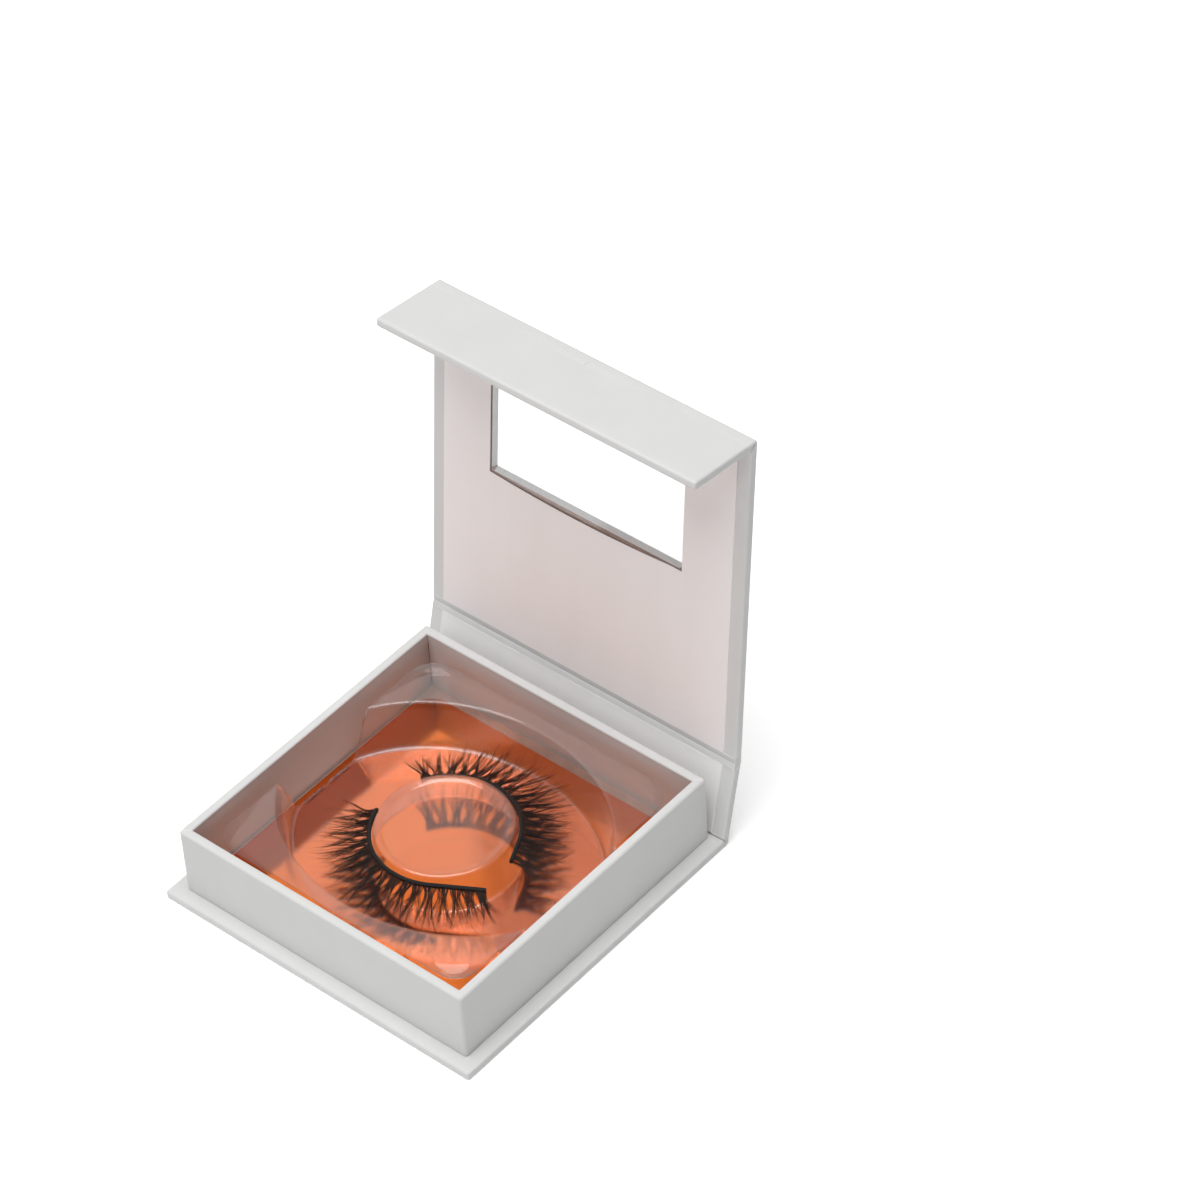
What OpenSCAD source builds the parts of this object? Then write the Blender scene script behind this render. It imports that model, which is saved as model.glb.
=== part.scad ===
/* [Tray] */
// Outside width and depth of the square tray
tray_w = 67.5; // [60:0.5:80]
// Outside height of the tray
tray_h = 15; // [13.5:0.1:20]
// Thickness of the tray's greyboard
tray_board_t = 1.4; // [1:0.1:2]
// Radius of the tray's upright corners
tray_corner_r = 0.6; // [0.4:0.1:2]

/* [Cover] */
// Thickness of the greyboard in the cover's four panels
cover_board_t = 1.5; // [1:0.05:2.1]
// How far the cover stands past the tray at each side
side_overhang = 2.8; // [1:0.1:5]
// How far the base panel stands past the tray at the front
front_overhang = 2.8; // [2.2:0.1:4]
// How far the base panel runs past the tray at the rear
rear_overhang = 0.85; // [0.4:0.05:1]
// Radius of the wrapped long edges of the panels
edge_r = 0.45; // [0.3:0.05:0.6]
// Width of the paper turned in over the panel edges
turn_in = 9; // [6:0.5:9]

/* [Paper] */
// Thickness of the wrapping paper
paper_t = 0.15; // [0.1:0.01:0.2]
// Thickness of the lining paper
liner_t = 0.15; // [0.1:0.01:0.2]
// Width of turned-in wrap left showing round a liner
liner_margin = 2.8; // [1.5:0.1:5]
// Thickness of the stay tape on the tray corners
stay_t = 0.1; // [0.05:0.01:0.15]
// Length of each leg of the stay tape
stay_leg = 10; // [6:0.5:15]

/* [Hinges] */
// Depth of the fold axis below the outer paper
axis_in = 0.7; // [0.5:0.05:0.9]
// Distance from a fold axis to the board edge beside it
board_end = 1.35; // [1.3:0.05:2]
// Gap between the closed spine's liner and the tray
spine_gap = 0.2; // [0.1:0.05:1]
// Gap between the tray rim and the closed lid's liner
lid_gap = 0.35; // [0.1:0.05:1]
// Gap between the base panel and the free edge of the closed flap
flap_gap = 0.15; // [0.1:0.05:1]
// How far the closed flap's face stands past the base's front edge
flap_reach = 0.35; // [0:0.05:1]
// How far the open spine leans back from upright
spine_lean = 15.5; // [7:0.5:60]
// How far the open lid leans back from upright
lid_lean = 6.6; // [-20:0.1:15]
// Height of the open flap's direction above level
flap_rise = 7.35; // [7:0.05:60]

/* [Window] */
// Width of the window in the lid
window_w = 44.5; // [20:0.5:45.5]
// Height of the window, along the lid
window_h = 20; // [10:0.5:40]
// Distance from the window to the lid's folded front edge
window_front = 14.7; // [10:0.1:30]
// How far the film runs under the liner, in front of the window and behind it
film_lap = 4.5; // [2:0.25:5]
// Gap between the film's sides and the turned-in margins of the lid's wrap
film_margin = 0.7; // [0.2:0.05:1]
// Thickness of the window film
film_t = 0.12; // [0.05:0.01:0.14]
// Corner radius of the window
window_r = 0.5; // [0.2:0.1:3]
// How much larger the liner's opening is, on each side
liner_reveal = 0.3; // [0:0.1:1]

/* [Magnets] */
// Diameter of the disc magnets
magnet_d = 8; // [5:0.5:10]
// Thickness of the disc magnets
magnet_t = 0.9; // [0.5:0.1:1]
// Distance of each magnet from the middle of the case
magnet_x = 20; // [8:0.5:26]

/* [Foil card] */
// How much smaller the square foil card is than the tray's inside
card_play = 2.3; // [1.5:0.1:6]
// Thickness of the foil card
card_t = 0.5; // [0.3:0.05:1]
// Corner radius of the foil card
card_r = 5; // [1:0.5:10]
// Gap between the loose card and the tray's left wall
card_left = 0.6; // [0.1:0.05:1.4]
// Gap between the loose card and the tray's front wall
card_front = 0.1; // [0.1:0.05:1.4]

/* [Lash tray] */
// How much smaller the clear tray's square flange is than the tray's inside
flange_play = 4.5; // [3:0.1:8]
// Corner radius of the flange
flange_r = 5; // [1:0.5:10]
// Thickness of the clear sheet
sheet_t = 0.3; // [0.2:0.05:0.5]
// Height of the flange above the card
flange_h = 10.2; // [9:0.1:12]
// How far the oval well's ends run past the flange's sides
well_past = 3.7; // [1:0.1:6]
// Width of the flange left in front of and behind the well
flange_side = 2.7; // [1:0.1:4]
// How much the well narrows from flange to floor, all round
well_draft = 1.4; // [0.5:0.1:3]
// Radius of the round pedestal's top edge
pedestal_r = 13.05; // [8:0.05:16]
// Height of the pedestal above the card
pedestal_h = 7.9; // [5:0.1:8.5]
// How much the pedestal widens from top to floor
pedestal_draft = 1.05; // [0.2:0.05:2]
// Depth of the dish in the pedestal's top
dish_depth = 0.4; // [0.1:0.1:1]
// Width of the raised lip round the dish
dish_lip = 1.2; // [0.6:0.1:3]

/* [Lashes] */
// Distance of the lash band's middle below the pedestal's top
lash_drop = 1.5; // [0.8:0.1:4]
// Height of the cotton band
band_h = 1; // [0.6:0.1:1.5]
// Thickness of the cotton band
band_t = 0.5; // [0.3:0.05:0.8]
// Gap between the pedestal and the band
band_gap = 0.15; // [0.1:0.05:0.3]
// Thickness of the band's outer slice that carries the hairs
slice_t = 0.2; // [0.1:0.05:0.4]
// Radius of a hair at its root
hair_r = 0.1; // [0.05:0.01:0.12]
// Longest hairs, near the middle of the lash
hair_mid = 11; // [6:0.25:11.5]
// Longest hairs at the ends of the lash
hair_end = 7.5; // [4:0.25:9]
// Number of hair clusters on each lash
clusters = 14; // [8:1:14]
// Hairs in a row of one cluster
cluster_cols = 6; // [3:1:6]

/* [Hidden] */

// Cover panels: outer paper, board and turned-in paper
panel_t = cover_board_t + 2 * paper_t;
panel_w = tray_w + 2 * side_overhang;
board_w = panel_w - 2 * paper_t;
liner_w = panel_w - 2 * liner_margin;
// The liner's inner layer fills the space between the turned-in margins, with this play
pad_play = 0.1;
pad_w = panel_w - 2 * turn_in - 2 * pad_play;

// Tray levels and walls
tray_z = panel_t;
rim_z = tray_z + tray_h;
skin_t = paper_t + stay_t;
wall_t = skin_t + tray_board_t + paper_t;
floor_z = tray_z + paper_t + tray_board_t;
inner_w = tray_w - 2 * wall_t;

// Base panel, front edge to rear edge
base_front = -tray_w / 2 - front_overhang;
base_rear = tray_w / 2 + rear_overhang;

// Fold axes of the closed case, and the distances between them
axis1_y = tray_w / 2 + spine_gap + liner_t + panel_t - axis_in;
axis1_z = axis_in;
axis2_z = rim_z + lid_gap + liner_t + panel_t - axis_in;
axis3_y = base_front - flap_reach + axis_in;
spine_span = axis2_z - axis1_z;
lid_span = axis1_y - axis3_y;
flap_span = axis2_z - panel_t - flap_gap;
spine_len = spine_span - 2 * board_end;
lid_len = lid_span - 2 * board_end;
flap_len = flap_span - board_end;

// Fold angles at rest, each measured from the panel before it
spine_turn = 90 - spine_lean;
lid_turn = spine_lean - lid_lean;
flap_turn = 90 + lid_lean - flap_rise;

// Hinge papers stop short of the panel that moves
hinge_play = 0.25;
hinge_steps = 8;
hinge_w = panel_w - 2 * paper_t;

// Rear edge of the window, measured along the lid from its fold
window_y = lid_span + axis_in - window_front - window_h;

// Magnets sit at half the tray's height
magnet_z = tray_z + tray_h / 2;
magnet_play = 0.05;
pocket_d = magnet_d + 2 * magnet_play;
pocket_t = magnet_t + magnet_play;
flap_magnet_y = axis2_z - magnet_z;

// Foil card, and the clear tray that lies on it
card_w = inner_w - card_play;
card_x = card_left + card_w / 2 - inner_w / 2;
card_y = card_front + card_w / 2 - inner_w / 2;
card_top = floor_z + card_t;
flange_w = inner_w - flange_play;
flange_z = card_top + flange_h;
well_a = flange_w / 2 + well_past;
well_b = flange_w / 2 - flange_side;
oval_steps = 72;
well_lip = 0.8;

// Lash layout
band_z = card_top + pedestal_h - lash_drop;
pedestal_slope = pedestal_draft / pedestal_h;
band_r = pedestal_r + pedestal_slope * (lash_drop + band_h / 2) + band_gap;
// Glue line that keeps the flat-faced slice off the band's round face
glue_line = 0.01;
root_r = band_r + band_t + glue_line + slice_t;
// Length by which the straight tail runs into the band's arc
band_lap = 0.1;
// Start angle, end angle and straight tail of each lash; the back one is laid out mirrored
front_lash = [-165, -60, 10.2];
back_lash = [-150, -25, 5];
hair_rows = 2;
hair_steps = [0, 0.35, 0.7];
hair_taper = [1, 0.9, 0.65];
// Fall and curl of the hairs over their reach, and the height by which the two rows open
hair_fall = 0.38;
hair_curl = 0.018;
row_open = 0.06;
// Turn of the hairs' direction per millimetre of tail, in degrees
tail_fan = 3;
// Share of its pitch that a cluster fills at the root and at the longest hair's tip
cluster_share = 0.56;
tip_share = 0.8;
spread_power = 1.3;
// How much shorter a cluster's outer hairs are, and how much the hairs' lengths vary
side_shorter = 0.22;
ragged_share = 0.16;
ragged_steps = 5;
// The longest hairs stand a little past the middle of the lash
reach_skew = 0.8;
// Length over which a hair leaves its root for its cluster's fan
root_blend = 2;

$fn = 64;

paper = [0.78, 0.78, 0.77];
paper_inside = [0.88, 0.84, 0.83];
greyboard = [0.62, 0.6, 0.56];
stay_paper = [0.82, 0.74, 0.6];
magnet = [0.72, 0.73, 0.75];
foil = [0.86, 0.45, 0.27];
clear = [0.86, 0.9, 0.93, 0.45];
black_hair = [0.07, 0.055, 0.05];
black_band = [0.04, 0.04, 0.045];

// Panels are drawn flat: x across, y away from the fold, z inward from the outer paper
module on_spine() {
    translate([0, axis1_y, axis1_z])
        rotate([spine_turn, 0, 0])
            translate([0, 0, -axis_in])
                children();
}

module on_lid() {
    on_spine()
        translate([0, spine_span, axis_in])
            rotate([lid_turn, 0, 0])
                translate([0, 0, -axis_in])
                    children();
}

module on_flap() {
    on_lid()
        translate([0, lid_span, axis_in])
            rotate([flap_turn, 0, 0])
                translate([0, 0, -axis_in])
                    children();
}

module rounded_square(w, d, r) {
    union() {
        square([w - 2 * r, d], center = true);
        square([w, d - 2 * r], center = true);
        for (x = [-1, 1], y = [-1, 1])
            translate([x * (w / 2 - r), y * (d / 2 - r)])
                circle(r = r);
    }
}

module slab(w, y0, y1, z0, z1) {
    translate([-w / 2, y0, z0])
        cube([w, y1 - y0, z1 - z0]);
}

module board_profile() {
    translate([0, panel_t / 2])
        rounded_square(board_w, cover_board_t, edge_r - paper_t);
}

// The wrap of one panel: outer sheet, rounded side edges and turned-in margins
module wrap_profile() {
    difference() {
        translate([0, panel_t / 2])
            rounded_square(panel_w, panel_t, edge_r);
        board_profile();
        translate([-panel_w / 2 + turn_in, paper_t])
            square([panel_w - 2 * turn_in, panel_t]);
    }
}

module panel_bar(y0, y1) {
    translate([0, y1, 0])
        rotate([90, 0, 0])
            linear_extrude(height = y1 - y0)
                children();
}

// The strip that closes a wrap over a free edge, from the edge at y towards the fold
module edge_turn(y, towards) {
    strip = board_w - 2 * edge_r;
    face = towards > 0 ? y : y - paper_t;
    inner = towards > 0 ? y : y - turn_in;
    slab(strip, face, face + paper_t, 0, panel_t);
    slab(strip, inner, inner + turn_in, panel_t - paper_t, panel_t);
}

module panel_board(y0, y1) {
    panel_bar(y0, y1)
        board_profile();
}

module panel_wrap(y0, y1) {
    panel_bar(y0, y1)
        wrap_profile();
}

module panel_liner(y0, y1, pad0, pad1) {
    slab(liner_w, y0, y1, panel_t, panel_t + liner_t);
    slab(pad_w, pad0, pad1, panel_t - paper_t, panel_t + liner_t);
}

function arc_points(r, a0, a1) =
    [for (i = [0 : hinge_steps]) let (a = a0 + (a1 - a0) * i / hinge_steps) [r * cos(a), r * sin(a)]];

// Paper round a fold: an arc about the axis with a tail to the panel on each side
module hinge_paper(turn, back, ahead) {
    mid = axis_in - paper_t;
    tail_end = [for (depth = [axis_in, mid])
        [ahead * cos(turn) + depth * sin(turn), ahead * sin(turn) - depth * cos(turn)]];
    translate([0, 0, axis_in])
        rotate([90, 0, 90])
            linear_extrude(height = hinge_w, center = true)
                polygon(concat(
                    [[-back, -axis_in]],
                    arc_points(axis_in, -90, turn - 90),
                    tail_end,
                    arc_points(mid, turn - 90, -90),
                    [[-back, -mid]]
                ));
}

module base_board() {
    color(greyboard)
        panel_board(base_front + paper_t, base_rear);
}

module base_wrap() {
    color(paper)
        union() {
            panel_wrap(base_front + paper_t, base_rear);
            edge_turn(base_front, 1);
        }
}

module tray_block(w, r, z0, z1) {
    translate([0, 0, z0])
        linear_extrude(height = z1 - z0)
            rounded_square(w, w, r);
}

module tray_shell() {
    cavity = inner_w + 2 * paper_t;
    difference() {
        tray_block(tray_w - 2 * skin_t, tray_corner_r - skin_t, tray_z + paper_t, rim_z - paper_t);
        slab(cavity, -cavity / 2, cavity / 2, floor_z, rim_z);
    }
}

// Magnet pockets are cut from the outside of the tray's front wall
module at_tray_magnets() {
    for (x = [-magnet_x, magnet_x])
        translate([x, skin_t - tray_w / 2, magnet_z])
            rotate([-90, 0, 0])
                children();
}

module tray_board() {
    color(greyboard)
        difference() {
            tray_shell();
            at_tray_magnets()
                cylinder(d = pocket_d, h = 2 * pocket_t, center = true);
        }
}

module tray_magnets() {
    color(magnet)
        at_tray_magnets()
            translate([0, 0, magnet_play / 2])
                cylinder(d = magnet_d, h = magnet_t);
}

// Tape bent round the board at each upright corner
module corner_stays() {
    z0 = tray_z + paper_t;
    z1 = rim_z - paper_t;
    mid = tray_w / 2 - stay_leg / 2;
    difference() {
        intersection() {
            tray_block(tray_w - 2 * paper_t, tray_corner_r - paper_t, z0, z1);
            for (x = [-mid, mid], y = [-mid, mid])
                translate([x, y, (z0 + z1) / 2])
                    cube([stay_leg, stay_leg, tray_h], center = true);
        }
        tray_block(tray_w - 2 * skin_t, tray_corner_r - skin_t, z0 - 1, z1 + 1);
    }
}

module tray_corner_stays() {
    color(stay_paper)
        corner_stays();
}

module tray_wrap() {
    under = tray_w - 2 * skin_t - 2 * turn_in;
    color(paper)
        difference() {
            tray_block(tray_w, tray_corner_r, tray_z, rim_z);
            slab(inner_w, -inner_w / 2, inner_w / 2, floor_z, rim_z + 1);
            tray_shell();
            corner_stays();
            slab(under, -under / 2, under / 2, tray_z - 1, floor_z);
        }
}

module spine_hinge() {
    color(paper)
        on_base_fold()
            hinge_paper(spine_turn, axis1_y - base_rear, board_end - hinge_play);
}

// The base lies flat, so its fold frame only needs moving to the axis
module on_base_fold() {
    translate([0, axis1_y, axis1_z - axis_in])
        children();
}

module spine_board() {
    color(greyboard)
        on_spine()
            panel_board(board_end, board_end + spine_len);
}

module spine_wrap() {
    color(paper)
        on_spine()
            panel_wrap(board_end, board_end + spine_len);
}

module spine_liner() {
    color(paper_inside)
        on_spine()
            panel_liner(board_end, board_end + spine_len, board_end, board_end + spine_len);
}

module lid_hinge() {
    color(paper)
        on_spine()
            translate([0, spine_span, 0])
                hinge_paper(lid_turn, board_end, board_end - hinge_play);
}

module window_hole(grow, z0, z1) {
    translate([0, window_y + window_h / 2, z0])
        linear_extrude(height = z1 - z0)
            rounded_square(window_w + 2 * grow, window_h + 2 * grow, window_r);
}

module lid_board() {
    color(greyboard)
        on_lid()
            difference() {
                panel_board(board_end, board_end + lid_len);
                window_hole(paper_t, 0, panel_t);
            }
}

// The wrap is turned into the window, so it lines the cut edge of the board
module lid_wrap() {
    color(paper)
        on_lid()
            difference() {
                union() {
                    panel_wrap(board_end, board_end + lid_len);
                    window_hole(paper_t, 0, panel_t - paper_t);
                }
                window_hole(0, -1, panel_t);
            }
}

// The film fills the width between the turned-in margins
module film_blank(play, z0, z1) {
    y0 = window_y - film_lap;
    slab(pad_w - 2 * film_margin + 2 * play, y0 - play, y0 + window_h + 2 * film_lap + play, z0, z1);
}

module window_film() {
    color(clear)
        on_lid()
            film_blank(0, panel_t - paper_t, panel_t - paper_t + film_t);
}

module lid_liner() {
    color(paper_inside)
        on_lid()
            difference() {
                panel_liner(board_end, board_end + lid_len, board_end, board_end + lid_len);
                film_blank(pad_play, panel_t - paper_t - 1, panel_t);
                window_hole(liner_reveal, 0, panel_t + 1);
            }
}

module flap_hinge() {
    color(paper)
        on_lid()
            translate([0, lid_span, 0])
                hinge_paper(flap_turn, board_end, board_end - hinge_play);
}

module at_flap_magnets() {
    for (x = [-magnet_x, magnet_x])
        translate([x, flap_magnet_y, panel_t - paper_t])
            rotate([180, 0, 0])
                children();
}

module flap_board() {
    color(greyboard)
        on_flap()
            difference() {
                panel_board(board_end, board_end + flap_len - paper_t);
                at_flap_magnets()
                    cylinder(d = pocket_d, h = 2 * pocket_t, center = true);
            }
}

module flap_wrap() {
    color(paper)
        on_flap()
            union() {
                panel_wrap(board_end, board_end + flap_len - paper_t);
                edge_turn(board_end + flap_len, -1);
            }
}

module flap_liner() {
    tip = board_end + flap_len;
    color(paper_inside)
        on_flap()
            panel_liner(board_end, tip - liner_margin, board_end, tip - turn_in - pad_play);
}

module flap_magnets() {
    color(magnet)
        on_flap()
            at_flap_magnets()
                translate([0, 0, magnet_play / 2])
                    cylinder(d = magnet_d, h = magnet_t);
}

module foil_card() {
    color(foil)
        translate([card_x, card_y, floor_z])
            linear_extrude(height = card_t)
                rounded_square(card_w, card_w, card_r);
}

// An oval ring of points, and a closed solid lofted through a stack of such rings
function oval(a, b, z) =
    [for (i = [0 : oval_steps - 1]) [a * cos(360 * i / oval_steps), b * sin(360 * i / oval_steps), z]];

module loft(rings) {
    n = oval_steps;
    last = (len(rings) - 1) * n;
    sides = [for (k = [0 : len(rings) - 2], i = [0 : n - 1])
        let (a = k * n + i, b = k * n + (i + 1) % n)
        each [[a, b + n, b], [a, a + n, b + n]]];
    caps = [[for (i = [0 : n - 1]) i], [for (i = [n - 1 : -1 : 0]) last + i]];
    polyhedron(points = [for (r = rings) each r], faces = concat(sides, caps));
}

// The well's outline at a height above its floor, widened by grow
module well(z0, z1, grow) {
    foot = grow - well_draft;
    loft([
        oval(well_a + foot - well_lip, well_b + foot - well_lip, z0),
        oval(well_a + foot, well_b + foot, z0 + well_lip),
        oval(well_a + grow - well_lip / 2, well_b + grow - well_lip / 2, z1 - well_lip),
        oval(well_a + grow, well_b + grow, z1 - well_lip / 4),
        oval(well_a + grow, well_b + grow, z1)
    ]);
}

module pedestal(z0, grow, dish) {
    top = card_top + pedestal_h - sheet_t + grow;
    rim = pedestal_r - sheet_t + grow;
    foot = rim + pedestal_slope * (top - z0);
    lip = dish_lip + grow - sheet_t;
    rotate_extrude()
        polygon([
            [0, z0], [foot, z0], [rim + pedestal_slope * dish, top - dish], [rim - dish / 2, top],
            [rim - lip, top], [rim - lip - dish, top - dish], [0, top - dish]
        ]);
}

module lash_tray() {
    floor_top = card_top + sheet_t;
    color(clear)
        difference() {
            intersection() {
                translate([0, 0, card_top])
                    linear_extrude(height = flange_h)
                        rounded_square(flange_w, flange_w, flange_r);
                union() {
                    translate([0, 0, flange_z - sheet_t])
                        linear_extrude(height = sheet_t)
                            rounded_square(flange_w, flange_w, flange_r);
                    well(card_top, flange_z, 0);
                }
            }
            difference() {
                well(floor_top, flange_z + 0.01, -sheet_t);
                pedestal(card_top, sheet_t, dish_depth);
            }
            pedestal(card_top - 0.01, 0, dish_depth);
        }
}

// Where a lash stands at a distance s along it, on a circle of the given radius
function lash_arc(lash) = (lash[1] - lash[0]) * PI / 180 * root_r;
function lash_length(lash) = lash_arc(lash) + lash[2];
function lash_angle(lash, s) = lash[0] + min(s, lash_arc(lash)) / root_r * 180 / PI;
function lash_tail(lash, s) = max(0, s - lash_arc(lash));
function lash_point(lash, s, r) =
    let (a = lash_angle(lash, s), tail = lash_tail(lash, s))
    [r * cos(a) - tail * sin(a), r * sin(a) + tail * cos(a)];
function hair_angle(lash, s) = lash_angle(lash, s) + tail_fan * lash_tail(lash, s);

module lash_band(lash) {
    tail = lash[2];
    translate([0, 0, band_z - band_h / 2]) {
        rotate([0, 0, lash[0]])
            rotate_extrude(angle = lash[1] - lash[0])
                translate([band_r, 0])
                    square([band_t, band_h]);
        rotate([0, 0, lash[1]])
            translate([band_r, -band_lap, 0])
                cube([band_t, tail + band_lap, band_h]);
    }
}

// Hairs run in clusters: k counts columns along the band, c places a hair across its cluster
function column_cluster(k) = floor(k / cluster_cols);
function column_share(k) = 2 * (k % cluster_cols) / (cluster_cols - 1) - 1;
function column_s(lash, k) =
    let (pitch = lash_length(lash) / clusters)
    (column_cluster(k) + 0.5 + column_share(k) * cluster_share / 2) * pitch;
function reach(lash, k, row) =
    let (
        t = (column_cluster(k) + 0.5) / clusters,
        full = hair_end + (hair_mid - hair_end) * sin(180 * pow(t, reach_skew)),
        ragged = ((2 * k + 3 * row) % ragged_steps) / ragged_steps
    )
    full * (1 - side_shorter * abs(column_share(k)) - ragged_share * ragged);

// A hair's centre at distance d from its root; hairs of a cluster spread without crossing
function hair_point(lash, k, row, d) =
    let (
        s0 = (column_cluster(k) + 0.5) * lash_length(lash) / clusters,
        pitch = lash_length(lash) / clusters,
        a = hair_angle(lash, s0),
        turning = lash_tail(lash, s0) > 0 ? tail_fan * PI / 180 : 1 / root_r,
        room = pitch * (1 + d * turning),
        spread = pow(d / hair_mid, spread_power),
        half = pitch * cluster_share / 2 * (1 - spread) + room * tip_share / 2 * spread,
        root = lash_point(lash, column_s(lash, k), root_r),
        centre = lash_point(lash, s0, root_r),
        c = column_share(k),
        straight = [centre[0] + d * cos(a) - c * half * sin(a), centre[1] + d * sin(a) + c * half * cos(a)],
        blend = min(1, d / root_blend),
        z_row = (row - 0.5) * (band_h / 2 + row_open * d)
    )
    [
        root[0] * (1 - blend) + straight[0] * blend,
        root[1] * (1 - blend) + straight[1] * blend,
        band_z + z_row - hair_fall * d + hair_curl * d * d
    ];

function hair_ring(lash, k, row, step) =
    let (
        d = reach(lash, k, row) * hair_steps[step],
        p = hair_point(lash, k, row, d),
        a = hair_angle(lash, (column_cluster(k) + 0.5) * lash_length(lash) / clusters),
        r = hair_r * hair_taper[step]
    )
    [for (q = [90, 210, 330]) [p[0] - r * cos(q) * sin(a), p[1] + r * cos(q) * cos(a), p[2] + r * sin(q)]];

// The slice and its hairs are one closed mesh, built column by column
module lash_hairs(lash) {
    cols = clusters * cluster_cols;
    rings = len(hair_steps);
    edge_s = [for (k = [0 : cols])
        k == 0 ? 0 : k == cols ? lash_length(lash) : (column_s(lash, k - 1) + column_s(lash, k)) / 2];
    outer = [for (s = edge_s, row = [0 : hair_rows])
        concat(lash_point(lash, s, root_r), band_z + band_h * (row / hair_rows - 0.5))];
    inner = [for (s = edge_s, side = [-1, 1])
        concat(lash_point(lash, s, root_r - slice_t), band_z + band_h / 2 * side)];
    hairs = [for (k = [0 : cols - 1], row = [0 : hair_rows - 1])
        each concat(
            [for (step = [0 : rings - 1]) each hair_ring(lash, k, row, step)],
            [hair_point(lash, k, row, reach(lash, k, row))]
        )];
    per_hair = 3 * rings + 1;
    in0 = len(outer);
    hair0 = in0 + len(inner);
    cell_faces = [for (k = [0 : cols - 1], row = [0 : hair_rows - 1])
        let (
            q0 = k * (hair_rows + 1) + row,
            q1 = q0 + hair_rows + 1,
            q2 = q1 + 1,
            q3 = q0 + 1,
            t0 = hair0 + (k * hair_rows + row) * per_hair,
            t1 = t0 + 1,
            t2 = t0 + 2
        )
        each [
            [q0, q1, t2], [q0, t2, t1], [q1, q2, t2], [q2, t0, t2],
            [q2, q3, t0], [q3, q0, t1], [q3, t1, t0]
        ]];
    hair_faces = [for (h = [0 : cols * hair_rows - 1], step = [0 : rings - 1], i = [0 : 2])
        let (
            base = hair0 + h * per_hair + 3 * step,
            a = base + i,
            b = base + (i + 1) % 3
        )
        each step == rings - 1 ? [[a, b, base + 3]] : [[a, b, b + 3], [a, b + 3, a + 3]]];
    skin_faces = [for (k = [0 : cols - 1])
        let (
            i0 = in0 + 2 * k,
            o0 = k * (hair_rows + 1),
            o1 = o0 + hair_rows + 1,
            top0 = o0 + hair_rows,
            top1 = o1 + hair_rows
        )
        each [
            [i0, i0 + 1, i0 + 3], [i0, i0 + 3, i0 + 2],
            [i0 + 1, top0, top1], [i0 + 1, top1, i0 + 3],
            [i0, i0 + 2, o1], [i0, o1, o0]
        ]];
    last_i = in0 + 2 * cols;
    last_o = cols * (hair_rows + 1);
    cap_faces = [
        [in0, 0, 1], [in0, 1, 2], [in0, 2, in0 + 1],
        [last_i, last_o + 1, last_o], [last_i, last_o + 2, last_o + 1], [last_i, last_i + 1, last_o + 2]
    ];
    faces = concat(cell_faces, hair_faces, skin_faces, cap_faces);
    polyhedron(
        points = concat(outer, inner, hairs),
        faces = [for (f = faces) [f[2], f[1], f[0]]],
        convexity = 10
    );
}

module front_lash_band() {
    color(black_band)
        lash_band(front_lash);
}

module front_lash_hairs() {
    color(black_hair)
        lash_hairs(front_lash);
}

module back_lash_band() {
    color(black_band)
        mirror([0, 1, 0])
            lash_band(back_lash);
}

module back_lash_hairs() {
    color(black_hair)
        mirror([0, 1, 0])
            lash_hairs(back_lash);
}

base_board();
base_wrap();
tray_board();
tray_corner_stays();
tray_wrap();
tray_magnets();
spine_hinge();
spine_board();
spine_wrap();
spine_liner();
lid_hinge();
lid_board();
lid_wrap();
lid_liner();
window_film();
flap_hinge();
flap_board();
flap_wrap();
flap_liner();
flap_magnets();
foil_card();
lash_tray();
front_lash_band();
front_lash_hairs();
back_lash_band();
back_lash_hairs();
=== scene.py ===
# False eyelash case: paper-wrapped cover and tray, foil card, clear formed lash tray and a pair of lashes
import math
import random
import bmesh
import bpy
from mathutils import Matrix, Vector, noise


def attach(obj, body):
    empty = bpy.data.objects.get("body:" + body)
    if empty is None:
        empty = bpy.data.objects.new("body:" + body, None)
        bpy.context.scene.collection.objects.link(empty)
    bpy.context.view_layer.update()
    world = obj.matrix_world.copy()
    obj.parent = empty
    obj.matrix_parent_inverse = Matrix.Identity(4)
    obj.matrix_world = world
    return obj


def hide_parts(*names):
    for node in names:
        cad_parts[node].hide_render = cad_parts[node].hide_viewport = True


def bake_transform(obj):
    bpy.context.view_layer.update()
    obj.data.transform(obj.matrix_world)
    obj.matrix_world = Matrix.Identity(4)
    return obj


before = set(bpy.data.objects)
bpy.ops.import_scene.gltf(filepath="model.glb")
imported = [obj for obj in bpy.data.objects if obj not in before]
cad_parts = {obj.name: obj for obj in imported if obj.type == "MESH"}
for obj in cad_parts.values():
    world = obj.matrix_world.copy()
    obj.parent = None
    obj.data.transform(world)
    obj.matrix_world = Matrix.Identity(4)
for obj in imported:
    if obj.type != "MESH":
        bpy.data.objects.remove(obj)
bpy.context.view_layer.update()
scene = bpy.context.scene
print("frame loaded:", len(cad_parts), "nodes")

mm = 0.001  # shapes are in millimetres until makePiece scales them; camera, lamps and bumps are in metres
case = dict(
    axisY=35.2, axisIn=0.7,              # first fold axis, and how deep the axes lie in the cover
    spineSpan=17.7, lidSpan=71.4,        # distances between the fold axes
    spineTurn=74.5, lidTurn=8.9, flapTurn=89.25,
    panelWidth=73.1, panelThick=1.8, boardEnd=1.35, paper=0.15,
    baseFront=-36.55, baseRear=34.6, flapTip=16.45,
    trayHalf=33.75, trayFloor=1.8, rimTop=16.8, wall=1.8, innerFloor=3.35,
)
panelT, panelW, paperT, boardEnd = (case[key] for key in ("panelThick", "panelWidth", "paper", "boardEnd"))


# Places of the panels: x across, y away from the fold, z inward from the outer paper

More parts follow.
